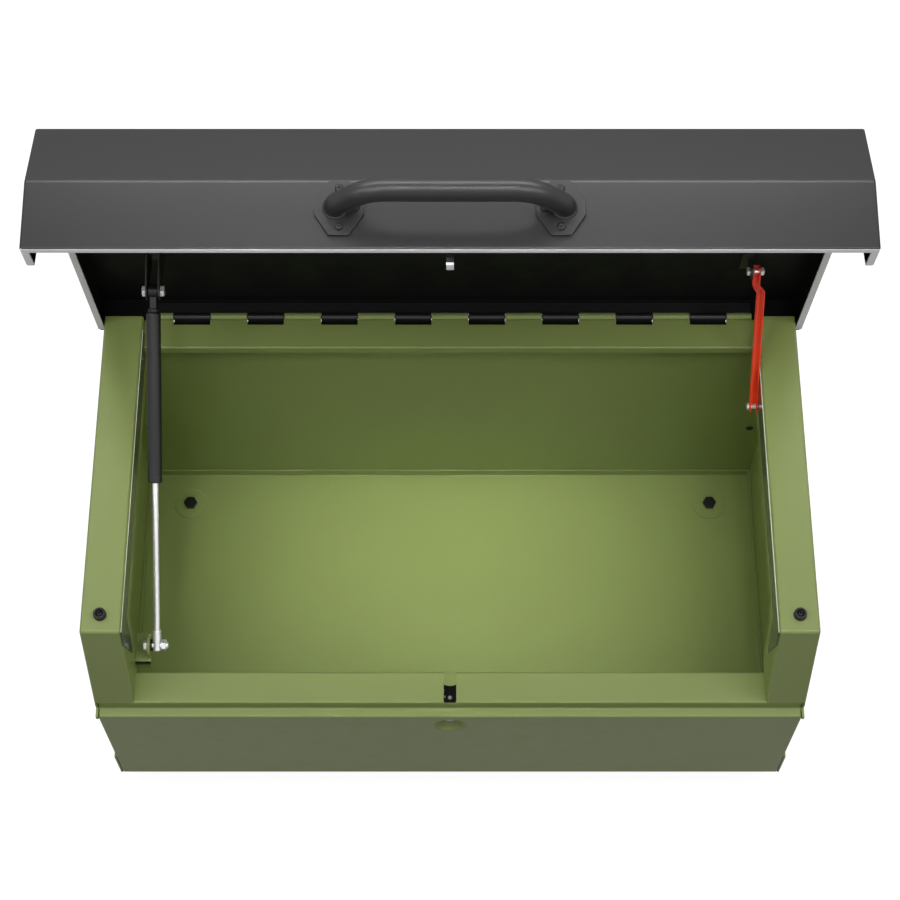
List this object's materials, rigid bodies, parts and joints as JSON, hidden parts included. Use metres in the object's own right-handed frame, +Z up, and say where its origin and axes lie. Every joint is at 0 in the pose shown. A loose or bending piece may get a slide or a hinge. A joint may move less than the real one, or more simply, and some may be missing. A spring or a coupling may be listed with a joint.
{
  "type": "jobsite storage box",
  "caption": "Steel jobsite storage box with a hinged overhanging lid held up by a gas strut, a slotted safety stay, a tube handle and a recessed key lock.",
  "frame": {"origin": "on the ground, below the middle of the open box's outline", "axes": "+X to the box's right seen from the front, +Y back towards the hinge, +Z up"},
  "size_m": [0.9232, 0.5316, 0.9953],
  "materials": {
    "green_paint": "satin powder coat, olive green",
    "black_paint": "satin powder coat, black",
    "black_steel": "black coated steel, low sheen",
    "zinc_steel": "bright zinc plate",
    "chrome_rod": "hard chrome, polished",
    "black_rubber": "matt moulded rubber",
    "red_paint": "gloss paint, red"
  },
  "bodies": {
    "box": {"front_panel": "green_paint", "front_rail": "green_paint", "left_side_panel": "green_paint", "right_side_panel": "green_paint", "left_base_skirt": "green_paint", "right_base_skirt": "green_paint", "left_arm": "green_paint", "right_arm": "green_paint", "left_edge_trim": "black_rubber", "right_edge_trim": "black_rubber", "rear_panel": "green_paint", "floor_tray": "green_paint", "floor_pads": "green_paint", "floor_bolts": "black_steel", "foot_nuts": "black_steel", "feet": "black_rubber", "bump_stops": "black_rubber", "bump_stop_screws": "black_steel", "hinge_rail": "green_paint", "body_hinge_leaf": "green_paint", "hinge_pin": "black_steel", "key_cup": "green_paint", "lock_case": "black_steel", "ejector_ball": "chrome_rod", "strut_lower_bracket": "green_paint", "strut_lower_bolt": "zinc_steel", "strut_lower_nut": "zinc_steel", "strut_spacer": "zinc_steel", "stay_slide_pin": "zinc_steel", "stay_slide_nut": "zinc_steel"},
    "lid": {"lid_shell": "black_paint", "lid_hinge_leaf": "black_paint", "handle_tube": "black_paint", "handle_plates": "black_paint", "handle_screws": "black_steel", "handle_nuts": "black_steel", "lid_catch": "black_paint", "strut_upper_bracket": "black_paint", "strut_upper_bolt_ends": "zinc_steel", "stay_upper_bracket": "black_paint", "stay_pivot_bolt": "zinc_steel", "stay_pivot_nut": "zinc_steel"},
    "strut_rod_body": {"strut_rod_end": "zinc_steel", "strut_rod": "chrome_rod", "strut_piston": "black_steel"},
    "strut_tube_body": {"strut_tube": "black_steel", "strut_gland": "black_steel", "strut_tube_eye": "zinc_steel"},
    "stay": {"safety_stay": "red_paint"},
    "lock_barrel_body": {"lock_barrel": "zinc_steel"},
    "lock_bolt_body": {"lock_bolt": "zinc_steel"}
  },
  "joints": [
    {"name": "lid_hinge", "type": "hinge", "parent": "box", "child": "lid", "pos_m": [0, 0.23756, 0.4472], "axis": [1, 0, 0], "range_deg": [0, 83.77]},
    {"name": "strut_swing", "type": "hinge", "parent": "box", "child": "strut_rod_body", "pos_m": [-0.372, -0.18504, 0.349], "axis": [1, 0, 0], "range_deg": [-19.49, 0]},
    {"name": "strut_slide", "type": "slide", "parent": "strut_rod_body", "child": "strut_tube_body", "axis": [0, 0.8345, 0.551], "range_m": [-0.17216, 0]},
    {"name": "stay_swing", "type": "hinge", "parent": "lid", "child": "stay", "pos_m": [0.3869, 0.23407, 0.56975], "axis": [1, 0, 0], "range_deg": [-41.91, 0]},
    {"name": "lock_barrel_turn", "type": "hinge", "parent": "box", "child": "lock_barrel_body", "pos_m": [0, -0.24584, 0.272], "axis": [0, 1, 0], "range_deg": [0, 90]},
    {"name": "lock_bolt_slide", "type": "slide", "parent": "box", "child": "lock_bolt_body", "axis": [1, 0, 0], "range_m": [0, 0.01402]}
  ],
  "couplings": [
    {"joint": "strut_swing", "follows": "lid_hinge", "ratio": -0.23244},
    {"joint": "strut_slide", "follows": "lid_hinge", "m_per_rad": -0.11762},
    {"joint": "stay_swing", "follows": "lid_hinge", "ratio": -0.5},
    {"joint": "lock_bolt_slide", "follows": "lock_barrel_turn", "m_per_rad": 0.0089131}
  ]
}
